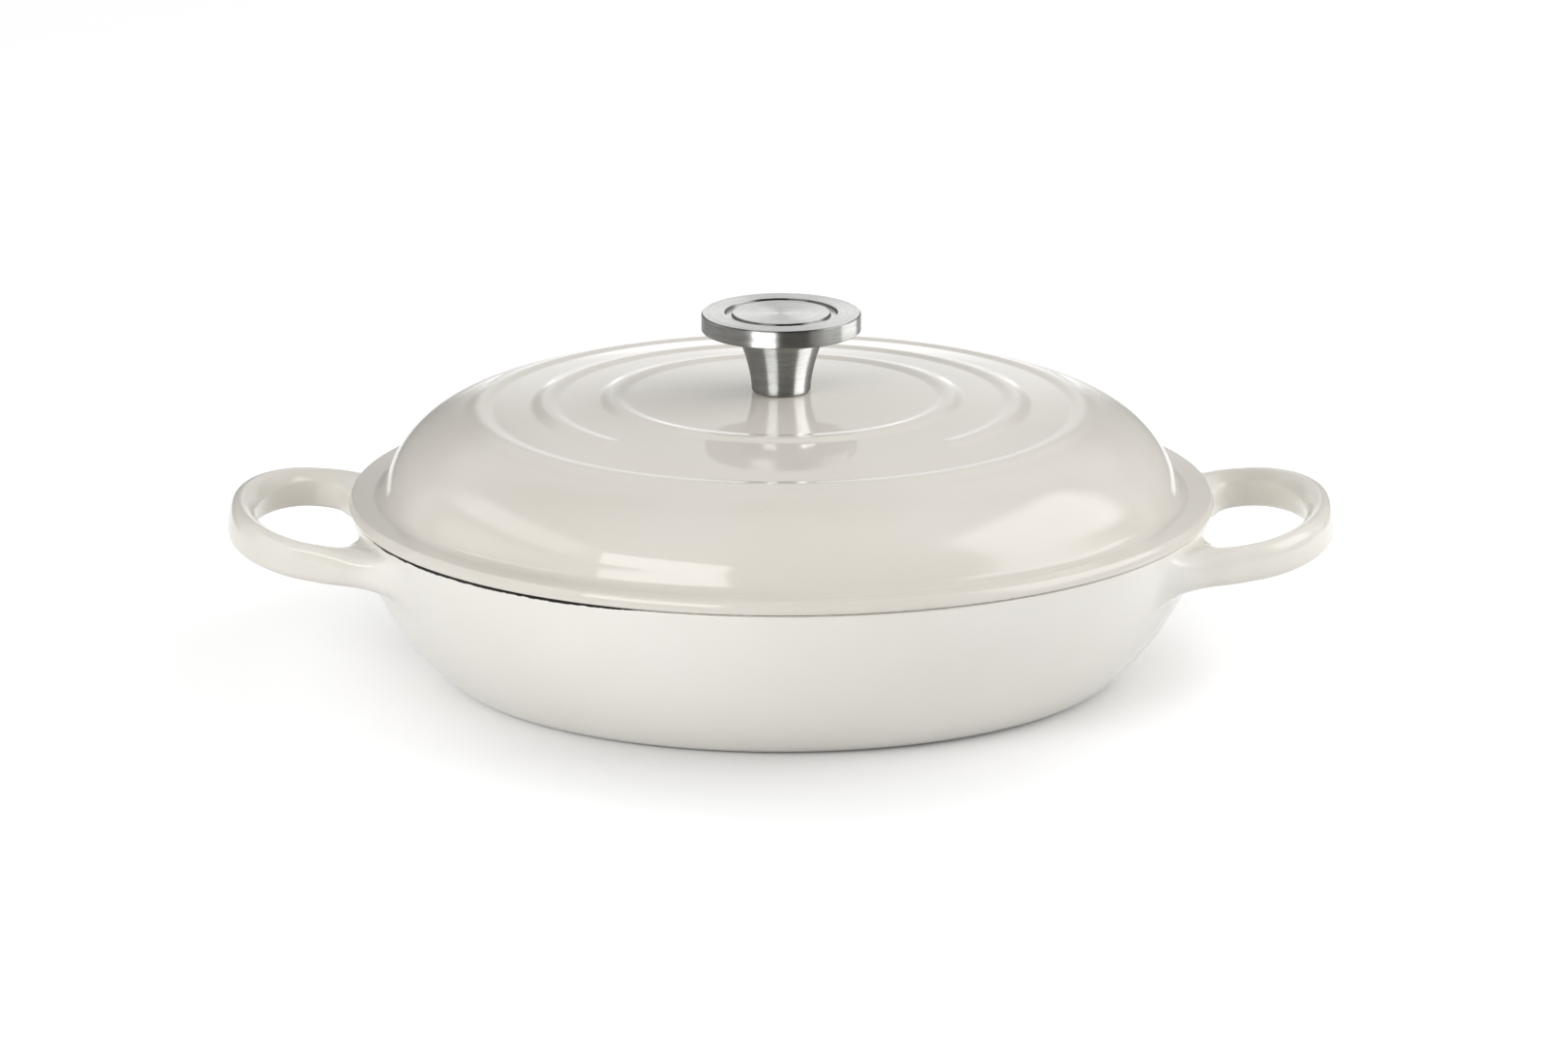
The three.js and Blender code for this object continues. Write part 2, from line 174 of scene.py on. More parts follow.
class StageSettings(bpy.types.PropertyGroup):
    """Light, floor and camera."""

    fill: light("Fill", "Strength of the even light", 0.47)
    left_power: watts("Left light", "Power of the left softbox", 4.0)
    right_power: watts("Right light", "Power of the right softbox", 30.0)
    front_power: watts("Front light", "Power of the front softbox, which reflections don't show", 15.0)
    glow_power: watts("Left glow", "Power of the dim light that only reflections show", 7.5)
    disc_left: watts("Disc, left", "Power of the left strip for the knob's disc", 1.2)
    disc_right: watts("Disc, right", "Power of the right strip for the knob's disc", 0.42)
    stem_left: watts("Stem, left", "Power of the left strip for the knob's stem", 1.6)
    stem_right: watts("Stem, right", "Power of the right strip for the knob's stem", 2.8)
    floor: grey("Floor", "Grey of the floor", 0.8)
    front_flag: grey("Front flag", "Grey of the card in front of the knob", 0.015)
    left_flag: grey("Left flag", "Grey of the card beside the knob", 0.95)
    left_wing: grey("Left wing", "Grey of the card behind on the left", 0.25)
    right_wing: grey("Right wing", "Grey of the card behind on the right", 0.42)
    # Less lift near the part than far from it paints a shadow round the part
    lift: light("Floor lift", "What the camera sees added to the floor", 0.065)
    far_lift: light("Far lift", "The same far from the part", 0.46)
    horizon: light("Horizon", "Brightness of the far floor in reflections", 1.8)
    backdrop: light("Backdrop", "Brightness of the backdrop in reflections", 1.15)
    ceiling: light("Ceiling", "Brightness overhead in reflections", 0.76)
    room: light("Room", "Brightness behind the camera in reflections", 0.06)
    elevation: tilt("Elevation", "Camera height above the horizon", 14.7)
    distance: length("Distance", "From the camera to the part", 8.0)
    lens: FloatProperty(name="Lens", description="Focal length in millimetres", default=515.7, min=1)


# Modelling helpers


def start_clean():
    """Leaves edit mode and deselects all, so that an operator touches the new piece alone."""
    if bpy.context.object and bpy.context.object.mode != "OBJECT":
        bpy.ops.object.mode_set(mode="OBJECT")
    bpy.ops.object.select_all(action="DESELECT")


def new_piece(name):
    """Names the object that an operator has just added, and puts its place into its mesh."""
    piece = bpy.context.object
    piece.name = piece.data.name = name
    bpy.ops.object.transform_apply(location=True, rotation=True, scale=True)
    return piece


def sized_piece(name, size):
    """Sizes the primitive that was just added, then names it and puts its size into its mesh."""
    bpy.context.object.scale = size
    return new_piece(name)


def sine(degrees):
    """The sine of an angle in degrees."""
    return math.sin(math.radians(degrees))


def arc(centre, radius, start, end, steps):
    """Points of a profile along an arc, with its ends, angles in degrees."""
    points = []
    for i in range(steps + 1):
        angle = math.radians(start + (end - start) * i / steps)
        points.append((centre[0] + radius * math.cos(angle), centre[1] + radius * math.sin(angle)))
    return points


# A round takes at most this share of an edge, and the point beside it stands this many rounds out
EASE_SHARE, EASE_BESIDE = 0.3, 1.6

# Points closer than this are one
DOUBLES = 0.000002


def eased(profile, radius, steps=3):
    """The profile with each sharp corner rounded off, and a point on the flat beside each round."""
    points = [Vector(profile[0])]
    for before, corner, after in zip(profile, profile[1:], profile[2:]):
        corner = Vector(corner)
        back, ahead = Vector(before) - corner, Vector(after) - corner
        reach = min(radius, EASE_SHARE * back.length, EASE_SHARE * ahead.length)
        start, end = corner + back.normalized() * reach, corner + ahead.normalized() * reach
        points.append(corner + back.normalized() * EASE_BESIDE * reach)
        for i in range(steps + 1):
            t = i / steps
            points.append(start.lerp(corner, t).lerp(corner.lerp(end, t), t))
        points.append(corner + ahead.normalized() * EASE_BESIDE * reach)
    points.append(Vector(profile[-1]))
    return [tuple(p) for p in points]


def turn(name, profile, steps):
    """Extrudes a vertex along a profile of radius and height, and spins it about Z."""
    start_clean()
    radius, height = profile[0]
    bpy.ops.mesh.primitive_plane_add(size=0.001, location=(radius, 0, height))
    piece = new_piece(name)
    bpy.ops.object.mode_set(mode="EDIT")
    bpy.ops.mesh.select_mode(type="VERT")
    bpy.ops.mesh.select_all(action="SELECT")
    bpy.ops.mesh.merge(type="CENTER")
    for (r0, z0), (r1, z1) in zip(profile, profile[1:]):
        step = {"value": (r1 - r0, 0, z1 - z0)}
        bpy.ops.mesh.extrude_region_move(TRANSFORM_OT_translate=step)
    bpy.ops.mesh.select_all(action="SELECT")
    bpy.ops.mesh.spin(steps=steps, angle=2 * math.pi, center=(0, 0, 0), axis=(0, 0, 1))
    close_up()
    return piece


def close_up():
    """Merges doubles and turns all faces outwards, then leaves edit mode."""
    bpy.ops.mesh.select_all(action="SELECT")
    bpy.ops.mesh.remove_doubles(threshold=DOUBLES)
    bpy.ops.mesh.normals_make_consistent(inside=False)
    bpy.ops.object.mode_set(mode="OBJECT")


def pick(piece, mode, test):
    """Selects in edit mode what passes a test, and returns how many that is."""
    bpy.ops.mesh.select_mode(type=mode)
    bpy.ops.mesh.select_all(action="DESELECT")
    mesh = bmesh.from_edit_mesh(piece.data)
    items = {"VERT": mesh.verts, "EDGE": mesh.edges, "FACE": mesh.faces}[mode]
    found = [item for item in items if test(item)]
    for item in found:
        item.select_set(True)
    mesh.select_flush_mode()
    bmesh.update_edit_mesh(piece.data)
    return len(found)


def swing(angle, centre):
    """Turns what is selected about Z; with no window the operator turns the other way."""
    bpy.ops.transform.rotate(value=-angle, orient_axis="Z", center_override=centre)


def choose(*pieces):
    """Selects these pieces alone, with the last one active."""
    start_clean()
    for piece in pieces:
        piece.select_set(True)
    bpy.context.view_layer.objects.active = pieces[-1]


def apply_modifier(piece, kind, **settings):
    """Adds a modifier with these settings and applies it."""
    choose(piece)
    modifier = piece.modifiers.new(kind.title(), kind)
    for key, value in settings.items():
        setattr(modifier, key, value)
    bpy.ops.object.modifier_apply(modifier=modifier.name)


def hand_over(piece, body, node, slot, *materials):
    """Smooths and colours a finished piece, and lets it stand for its solid."""
    choose(piece)
    bpy.ops.object.shade_smooth()
    for material in materials:
        piece.data.materials.append(material)
    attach(piece, body)
    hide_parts(node)


# Material helpers


class Graph:
    """Adds and links the nodes of one shader tree."""

    def __init__(self, tree):
        self.tree = tree

    def add(self, kind, inputs=None, **settings):
        """A new node with these inputs and settings."""
        node = self.tree.nodes.new("ShaderNode" + kind)
        for key, value in settings.items():
            setattr(node, key, value)
        for key, value in (inputs or {}).items():
            self.feed(node.inputs[key], value)
        return node

    def feed(self, socket, value):
        """Links a socket to this one, or sets it to a plain value."""
        if isinstance(value, bpy.types.NodeSocket):
            self.tree.links.new(value, socket)
        elif socket.type == "RGBA":
            socket.default_value = (*value, 1.0)
        else:
            socket.default_value = value

    def math(self, operation, first, second=0.0):
        """The result of a sum on one or two values."""
        return self.add("Math", {0: first, 1: second}, operation=operation).outputs[0]

    def vector(self, operation, *values):
        """The outputs of a sum on vectors."""
        return self.add("VectorMath", dict(enumerate(values)), operation=operation).outputs

    def place(self):
        """The place on the piece, in its own coordinates."""
        return self.add("TexCoord").outputs["Object"]

    def noise(self, vector, scale, detail=2.0):
        """Soft noise between 0 and 1."""
        inputs = {"Vector": vector, "Scale": scale, "Detail": detail}
        return self.add("TexNoise", inputs).outputs["Fac"]

    def spread(self, value, low, high, to_low=0.0, to_high=1.0, smooth=False):
        """The value spread from one range to another, and kept within it."""
        inputs = {"Value": value, "From Min": low, "From Max": high}
        inputs.update({"To Min": to_low, "To Max": to_high})
        kind = "SMOOTHSTEP" if smooth else "LINEAR"
        return self.add("MapRange", inputs, interpolation_type=kind).outputs["Result"]

    def mix(self, factor, first, second):
        """Two colours mixed by a factor."""
        node = self.add("Mix", {"Factor": factor}, data_type="RGBA")
        self.feed(node.inputs[6], first)
        self.feed(node.inputs[7], second)
        return node.outputs[2]


def new_group(name, inputs, outputs):
    """An empty shader group with named sockets: its graph, its inputs and its output node."""
    tree = bpy.data.node_groups.new(name, "ShaderNodeTree")
    for direction, sockets in (("INPUT", inputs), ("OUTPUT", outputs)):
        for socket, kind in sockets.items():
            tree.interface.new_socket(socket, in_out=direction, socket_type="NodeSocket" + kind)
    graph = Graph(tree)
    source = tree.nodes.new("NodeGroupInput")
    return graph, source.outputs, tree.nodes.new("NodeGroupOutput")


def shared(build):
    """The shader group that a function builds under its own name, built only once."""
    return bpy.data.node_groups.get(build.__name__) or build()


# What leaves the level part of a place
LEVEL = (1.0, 1.0, 0.0)

# Enamel: scales of its clouds, speck cells, patches of gloss and ripple, and the range of its gloss
CLOUD, CELLS, PATCH, RIPPLE = 16.0, 150.0, 45.0, 70.0
SMOOTHEST, ROUGHEST = 0.05, 0.085

# Radii between which a painted shade on the handles sets in; specks: colour, strength and share
# without
HANDLE_SHADE_FROM, HANDLE_SHADE_TO = 0.156, 0.166
SPECK, SPECK_STRENGTH, SPECKLESS = paint(120, 108, 92), 0.3, 0.93

# The bare edge: the side where it reaches lower, how far down and out, and how ragged and sharp its
# line is
BARE_ROUGHNESS = 0.7
LOW_SIDE_WAY = (-0.719, -0.695, 0.0)
LOW_SIDE_FROM, LOW_SIDE_TO = 0.85, 0.975
LOW_SIDE_DROP, LOW_SIDE_REACH = 0.0006, 0.0016
RAGGED, RAGGED_SCALE, SHARP = 0.0003, 300.0, 0.00006

# Turning marks: scale and share of the fine and the broad ones, and their change round a turn
FINE_SCALE, FINE_SHARE = 5200.0, 0.65
BROAD_SCALE, BROAD_SHARE = 900.0, 0.35
ROUND_CHANGE = 0.0012


def enamel_coat():
    """Glassy enamel: faint clouds of thinner coat, a painted shade on the handles, rare pin specks and
    a slight ripple.
    """
    graph, given, out = new_group(
        "enamel_coat",
        {"Color": "Color", "Shade": "Color"},
        {"Color": "Color", "Roughness": "Float", "Height": "Float"},
    )
    place = graph.place()
    cloud = graph.noise(place, CLOUD, 3.0)
    radius = graph.vector("LENGTH", graph.vector("MULTIPLY", place, LEVEL)[0])["Value"]
    # The shade colour comes in with the clouds and, out on the handles, as painted shade
    clouds_and_handle_shade = graph.math("MAXIMUM", graph.spread(cloud, 0.38, 0.72, 0.0, 0.4),
                      graph.spread(radius, HANDLE_SHADE_FROM, HANDLE_SHADE_TO, smooth=True))
    coat = graph.mix(clouds_and_handle_shade, given["Color"], given["Shade"])
    cells = graph.add("TexVoronoi", {"Vector": place, "Scale": CELLS})
    lucky = graph.add("SeparateColor", {"Color": cells.outputs["Color"]}).outputs[0]
    near = graph.spread(cells.outputs["Distance"], 0.02, 0.05, SPECK_STRENGTH, 0.0)
    speck = graph.math("MULTIPLY", near, graph.math("GREATER_THAN", lucky, SPECKLESS))
    graph.feed(out.inputs["Color"], graph.mix(speck, coat, SPECK))
    patch = graph.noise(place, PATCH, 2.0)
    graph.feed(out.inputs["Roughness"], graph.spread(patch, 0.3, 0.7, SMOOTHEST, ROUGHEST))
    graph.feed(out.inputs["Height"], graph.noise(place, RIPPLE, 1.0))
    return graph.tree


def rim_edge():
    """A mask of the bare rim: above a ragged line, lower at the front on one side."""
    given = {"Line": "Float", "Radius": "Float"}
    graph, given, out = new_group("rim_edge", given, {"Mask": "Float"})
    place = graph.place()
    height = graph.add("SeparateXYZ", {"Vector": place}).outputs["Z"]
    flat = graph.vector("MULTIPLY", place, LEVEL)[0]
    side = graph.vector("DOT_PRODUCT", graph.vector("NORMALIZE", flat)[0], LOW_SIDE_WAY)["Value"]
    low_side = graph.spread(side, LOW_SIDE_FROM, LOW_SIDE_TO, smooth=True)
    low = graph.math("MULTIPLY", low_side, LOW_SIDE_DROP)
    ragged = graph.spread(graph.noise(place, RAGGED_SCALE, 3.0), 0.2, 0.8, -RAGGED, RAGGED)
    line = graph.math("ADD", graph.math("SUBTRACT", given["Line"], low), ragged)
    past = graph.math("SUBTRACT", height, line)
    radius = graph.vector("LENGTH", flat)["Value"]
    bare = graph.spread(past, -SHARP, SHARP)
    edge = graph.math("ADD", given["Radius"], graph.math("MULTIPLY", low_side, LOW_SIDE_REACH))
    inside = graph.math("LESS_THAN", radius, graph.math("ADD", edge, ragged))
    graph.feed(out.inputs["Mask"], graph.math("MULTIPLY", bare, inside))
    return graph.tree


def turning_marks():
    """Fine marks that run round the axis, as a lathe and a brush leave them."""
    graph, given, out = new_group(
        "turning_marks",
        {"Color": "Color", "Shade": "Color"},
        {"Color": "Color", "Marks": "Float", "Height": "Float"},
    )
    axes = graph.add("SeparateXYZ", {"Vector": graph.place()}).outputs
    across = graph.math("MULTIPLY", axes["X"], axes["X"])
    along = graph.math("MULTIPLY", axes["Y"], axes["Y"])
    radius = graph.math("SQRT", graph.math("ADD", across, along))
    turned = graph.math("ARCTAN2", axes["Y"], axes["X"])
    along_turn = graph.math("MULTIPLY", turned, ROUND_CHANGE)
    inputs = {"X": radius, "Y": axes["Z"], "Z": along_turn}
    wound = graph.add("CombineXYZ", inputs).outputs[0]
    fine = graph.noise(wound, FINE_SCALE, 3.0)
    broad = graph.noise(wound, BROAD_SCALE, 2.0)
    marks = graph.math("ADD", graph.math("MULTIPLY", fine, FINE_SHARE),
                       graph.math("MULTIPLY", broad, BROAD_SHARE))
    graph.feed(
        out.inputs["Color"],
        graph.mix(graph.spread(marks, 0.35, 0.65, 1.0, 0.0), given["Color"], given["Shade"]),
    )
    graph.feed(out.inputs["Marks"], marks)
    graph.feed(out.inputs["Height"], fine)
    return graph.tree


def new_material(name):
    """An empty material: itself, its graph and its output socket."""
    material = bpy.data.materials.new(name)
    material.use_nodes = True
    material.node_tree.nodes.clear()
    graph = Graph(material.node_tree)
    return material, graph, graph.add("OutputMaterial").inputs["Surface"]


def enamel(name, coat, shade, rim, line, radius):
    """Gloss enamel whose edge above a line and inside a radius is bare and matt."""
    material, graph, surface = new_material(name)
    skin = graph.add("Group", node_tree=shared(enamel_coat))
    graph.feed(skin.inputs["Color"], coat)
    graph.feed(skin.inputs["Shade"], shade)
    edge = graph.add("Group", {"Line": line, "Radius": radius}, node_tree=shared(rim_edge))
    mask = edge.outputs["Mask"]
    ripple = skin.outputs["Height"]
    bump = graph.add("Bump", {"Strength": 0.06, "Distance": 0.001, "Height": ripple})
    matt = graph.math("MULTIPLY", mask, BARE_ROUGHNESS)
    rough = graph.math("MAXIMUM", skin.outputs["Roughness"], matt)
    gloss = graph.add("BsdfPrincipled", {
        "Base Color": graph.mix(mask, skin.outputs["Color"], rim),
        "Roughness": rough,
        "IOR": 1.5,
        "Normal": bump.outputs["Normal"],
    })
    graph.feed(surface, gloss.outputs["BSDF"])
    return material


def turned_steel(name, steel, shade, dull=0.38, bright=0.31):
    """Stainless steel with circular brush marks that stretch its highlights."""
    material, graph, surface = new_material(name)
    marks = graph.add("Group", node_tree=shared(turning_marks))
    graph.feed(marks.inputs["Color"], steel)
    graph.feed(marks.inputs["Shade"], shade)
    cuts = marks.outputs["Height"]
    bump = graph.add("Bump", {"Strength": 0.05, "Distance": 0.0001, "Height": cuts})
    rough = graph.spread(marks.outputs["Marks"], 0.3, 0.7, dull, bright)
    round_axis = graph.add("Tangent", direction_type="RADIAL", axis="Z")
    metal = graph.add("BsdfPrincipled", {
        "Base Color": marks.outputs["Color"],
        "Metallic": 1.0,
        "Roughness": rough,
        "Anisotropic": 1.0,
        "Anisotropic Rotation": 0.25,
        "Normal": bump.outputs["Normal"],
        "Tangent": round_axis.outputs["Tangent"],
    })
    graph.feed(surface, metal.outputs["BSDF"])
    return material


# Pot

POT_STEPS = 96
WALL_LEAN = 8.0

# Heights of the cage's rows: where the handles grow, the whole outside, and the lining
ROOT_ROWS = (0.0408, 0.0486, 0.0564)
WALL_ROWS = (0.0039, 0.010, 0.017, 0.0245, 0.033, *ROOT_ROWS, 0.0579)
LINING_ROWS = (0.0577, 0.054, 0.046, 0.036, 0.026, 0.017, 0.0105)

# Shares of the radius at which the base and the floor have a row
BASE_SHARES = (0, 0.3, 0.6, 0.85, 0.95, 1.0)
FLOOR_SHARES = (0.85, 0.6, 0.3, 0)

# How far the lip's corners stand in and down, and the floor's corner stands out, up and in
LIP_INSET, LIP_DROP, LIP_INNER_DROP = 0.0007, 0.0005, 0.0006
CORNER_OUT, CORNER_RISE, CORNER_RUN = 0.0012, 0.0014, 0.0055

# The bare edge from the top and the outside of the rim, its further drop inside, and the lining's end
BARE_DROP, BARE_INSET, BARE_INNER_DROP, LINING_END = 0.0002, 0.001, 0.0004, 0.001

# The handles' roots on the wall: between these angles, with so many faces in all and edges to bridge
ROOT_FROM, ROOT_TO = 11.25, 26.25
ROOT_FACES, ROOT_EDGES = 32, 24

# Sections at a handle's root: out from the rim, aside, half width, and heading in degrees
HANDLE_ROOTS = (
    (-0.0025, 0.0482, 0.0146, 14.0),
    (0.0025, 0.0530, 0.0074, 8.0),
    (0.0075, 0.0541, 0.0053, 0.0),
)
# The curve from there to the tip: two points out from the rim and aside, and how far aside it turns
HANDLE_CURVE = ((0.0128, 0.0530), (0.0252, 0.0516))
HANDLE_TURN = 0.0315
HANDLE_SECTIONS = 10
HANDLE_DROP = 0.0082

# Shares of the bar's width: where the curve starts, and what is added halfway
BAR_START, BAR_SWELL = 0.92, 0.2

# Section of a handle bar, from the outer face up over the top: shares of its half width and height
BAR_SECTION = (
    (1.02, 0.0), (0.96, 0.5), (0.7, 0.9), (0.0, 1.06), (-0.86, 0.54), (-1.0, 0.39),
    (-1.0, 0.12), (-1.0, -0.7), (-0.82, -1.0), (0.0, -1.02), (0.76, -0.97), (1.0, -0.6),
)


def wall_circle(pot):
    """Centre and radius of the arc that the outside of the wall follows."""
    lean = math.radians(WALL_LEAN)
    inward = Vector((-math.cos(lean), math.sin(lean)))
    to_foot = Vector((-pot.foot_inset, -pot.height))
    radius = to_foot.length_squared / (2 * to_foot.dot(inward))
    return Vector((pot.rim_radius, pot.height)) + inward * radius, radius


def pot_profile(pot):
    """The cage's profile, from the middle of the base over the rim to the middle of the floor."""
    centre, outer = wall_circle(pot)
    inner = outer - pot.wall

    def on_wall(radius, height):
        return centre.x + math.sqrt(radius**2 - (height - centre.y) ** 2), height

    foot = pot.rim_radius - pot.foot_inset
    base = [(foot * share, 0.0) for share in BASE_SHARES]
    outside = [on_wall(outer, z) for z in WALL_ROWS]
    rim, top = pot.rim_radius, pot.height
    lip = [(rim, top - LIP_DROP), (rim - LIP_INSET, top), (rim - pot.wall / 2, top)]
    lip += [(rim - pot.wall + LIP_INSET, top), (rim - pot.wall, top - LIP_INNER_DROP)]
    inside = [on_wall(inner, z) for z in LINING_ROWS]
    bottom = pot.floor
    corner = on_wall(inner, bottom)[0]
    floor = [(corner + CORNER_OUT, bottom + CORNER_RISE), (corner - CORNER_RUN, bottom)]
    floor += [(corner * share, bottom) for share in FLOOR_SHARES]
    return base + outside + lip + inside + floor


def handle_rings(pot):
    """Centre, half width and heading of each section of a handle bar, seen from above and level."""
    rim = pot.rim_radius
    half = pot.bar_width / 2
    tip = rim + pot.handle_reach - half
    rings = []
    for out, aside, wide, heading in HANDLE_ROOTS:
        rings.append((Vector((rim + out, aside)), wide, math.radians(heading)))
    line = [Vector((rim + out, aside)) for out, aside in HANDLE_CURVE]
    line += [Vector((tip, HANDLE_TURN)), Vector((tip, 0.0))]
    legs = [after - before for before, after in zip(line, line[1:])]
    for i in range(HANDLE_SECTIONS):
        t = i / (HANDLE_SECTIONS - 1)
        s = 1 - t
        at = s**3 * line[0] + 3 * s * s * t * line[1] + 3 * s * t * t * line[2] + t**3 * line[3]
        way = s * s * legs[0] + 2 * s * t * legs[1] + t * t * legs[2]
        wide = half * (BAR_START + (1 - BAR_START) * t + BAR_SWELL * math.sin(math.pi * t))
        rings.append((at, wide, math.atan2(way.y, way.x)))
    centres = [at for at, _, _ in rings] + [Vector((rings[-2][0].x, -rings[-2][0].y))]
    for i in range(len(HANDLE_ROOTS), len(rings)):
        bend = centres[i - 1] - 2 * centres[i] + centres[i + 1]
        rings[i] = (centres[i] - bend / 6, rings[i][1], rings[i][2])
    back = [(Vector((at.x, -at.y)), wide, -math.pi - way) for at, wide, way in rings[-2::-1]]
    return rings + back


def add_handle(pot):
    """Draws a bar section by section from root to root, and tilts it up against the wall."""
    rings = handle_rings(pot)
    (at, wide, way) = rings[0]
    half = pot.bar_width / 2
    start_clean()
    centre = Vector((at.x, at.y, 0))
    bpy.ops.mesh.primitive_circle_add(
        vertices=len(BAR_SECTION), radius=half, fill_type="NOTHING",
        location=centre, rotation=(0, math.pi / 2, 0),
    )
    bar = new_piece("handle_bar")
    bpy.ops.object.mode_set(mode="EDIT")
    # From the last corner back, so that no moved corner lands on one that still waits
    for i, (across, up) in reversed(tuple(enumerate(BAR_SECTION))):
        angle = 2 * math.pi * i / len(BAR_SECTION)
        corner = centre + Vector((0, math.cos(angle), math.sin(angle))) * half
        if pick(bar, "VERT", lambda v: (v.co - corner).length < 0.1 * half) != 1:
            raise RuntimeError("the section of the handle bar has lost a corner")
        goal = centre + Vector((0, across, up)) * half
        bpy.ops.transform.translate(value=goal - corner)
    bpy.ops.mesh.select_all(action="SELECT")
    stretch = (1, wide / half, pot.bar_height / pot.bar_width)
    bpy.ops.transform.resize(value=stretch, center_override=centre)
    swing(way, centre)
    for (to, next_wide, next_way) in rings[1:]:
        step = (to.x - at.x, to.y - at.y, 0)
        bpy.ops.mesh.extrude_region_move(TRANSFORM_OT_translate={"value": step})
        centre = Vector((to.x, to.y, 0))
        swing(-way, centre)
        bpy.ops.transform.resize(value=(1, next_wide / wide, 1), center_override=centre)
        swing(next_way, centre)
        at, wide, way = to, next_wide, next_way
    bpy.ops.mesh.select_all(action="SELECT")
    pivot = Vector((pot.rim_radius, 0, pot.height - HANDLE_DROP))
    bpy.ops.transform.translate(value=(0, 0, pivot.z))
    bpy.ops.transform.rotate(value=pot.handle_rise, orient_axis="Y", center_override=pivot)
    bpy.ops.object.mode_set(mode="OBJECT")
    return bar


def in_root(face):
    """Whether a face of the wall is one that a handle grows from."""
    at = face.calc_center_median()
    angle = math.degrees(math.atan2(abs(at.y), abs(at.x)))
    outside = face.normal.dot(Vector((at.x, at.y, 0))) > 0
    return outside and ROOT_FROM < angle < ROOT_TO and ROOT_ROWS[0] < at.z < ROOT_ROWS[-1]


class CASSEROLE_OT_pot(bpy.types.Operator):
    """Turns the pot as a cage, grows both handles out of its wall and rounds it all off"""

    bl_idname = "casserole.make_pot"
    bl_label = "Make Pot"

    def execute(self, context):
        pot = context.scene.casserole_pot
        piece = turn("pot_casting", pot_profile(pot), POT_STEPS)
        bpy.ops.object.mode_set(mode="EDIT")
        if pick(piece, "FACE", in_root) != ROOT_FACES:
            raise RuntimeError("the wall has no clear place for the handle roots")
        bpy.ops.mesh.delete(type="FACE")
        right = add_handle(pot)
        choose(right)
        bpy.ops.object.duplicate()
        left = context.object
        bpy.ops.transform.rotate(value=math.pi, orient_axis="Z", center_override=(0, 0, 0))
        bpy.ops.object.transform_apply(location=True, rotation=True, scale=True)
        choose(right, left, piece)
        bpy.ops.object.join()
        bpy.ops.object.mode_set(mode="EDIT")
        for x, y in ((1, 1), (1, -1), (-1, 1), (-1, -1)):
            def open_edge(edge):
                at = edge.verts[0].co
                return edge.is_boundary and at.x * x > 0 and at.y * y > 0
            if pick(piece, "EDGE", open_edge) != ROOT_EDGES:
                raise RuntimeError("a handle root doesn't meet its place on the wall")
            bpy.ops.mesh.bridge_edge_loops(type="SINGLE")
        close_up()
        inside = pot.floor / 2
        centre, outer = wall_circle(pot)
        middle = outer - pot.wall / 2
        line = pot.height - BARE_DROP
        bare = pot.rim_radius - BARE_INSET
        outer_coat = enamel("pot_enamel", pot.enamel, pot.shade, pot.rim, line, bare)
        lining = enamel("pot_lining", pot.lining, pot.shade, pot.rim, line - BARE_INNER_DROP, bare)
        hand_over(piece, "pot", "pot", "enamel_pot", outer_coat, lining)
        for face in piece.data.polygons:
            at = face.center
            away = Vector((max(math.hypot(at.x, at.y) - centre.x, 0), at.z - centre.y)).length
            lined = inside < at.z < pot.height - LINING_END and away < middle
            face.material_index = int(lined)
        apply_modifier(piece, "SUBSURF", levels=2, render_levels=2)
        return {"FINISHED"}


# Lid

LID_STEPS = 240
CROWN_RADIUS = 0.82
SHOULDER_RADIUS = 0.036
SIDE_LEAN = 20.0
RIM_FILLET = 0.004

# The raised rings: radii, which one is broken, how it fades out, and the crown's least height
RING_RADII = (0.108, 0.084, 0.060)
BROKEN_RING = 1
BREAK_FADE = math.radians(4)
CROWN_ABOVE = 0.02

# The locating rib: radii of its faces at the seat and at its foot, its drop and its rounds
RIB_INNER, RIB_INNER_FOOT = 0.1441, 0.1444
RIB_OUTER_FOOT, RIB_OUTER = 0.1472, 0.1475
RIB_DROP, RIB_ROUND = 0.0032, 0.0006
SEAT_EDGE = 0.1510

# Rows of points under and over the crown and across half a ring, the width they cover, and their gaps
UNDER_ROWS, CROWN_ROWS, RING_ROWS = 9, 40, 14
RING_SPAN = 0.55
SHOULDER_GAP, LEAST_STEP = 0.0001, 0.00002

# A line above the whole lid and a radius of nothing: no bare edge
NO_BARE_EDGE = (1.0, 0.0)

# The rim's edge: a tight round below, a leaning face between these angles, and a tight round above
EDGE_LOW, EDGE_HIGH = 0.0012, 0.0009
EDGE_FROM, EDGE_TO = 12.0, 30.0


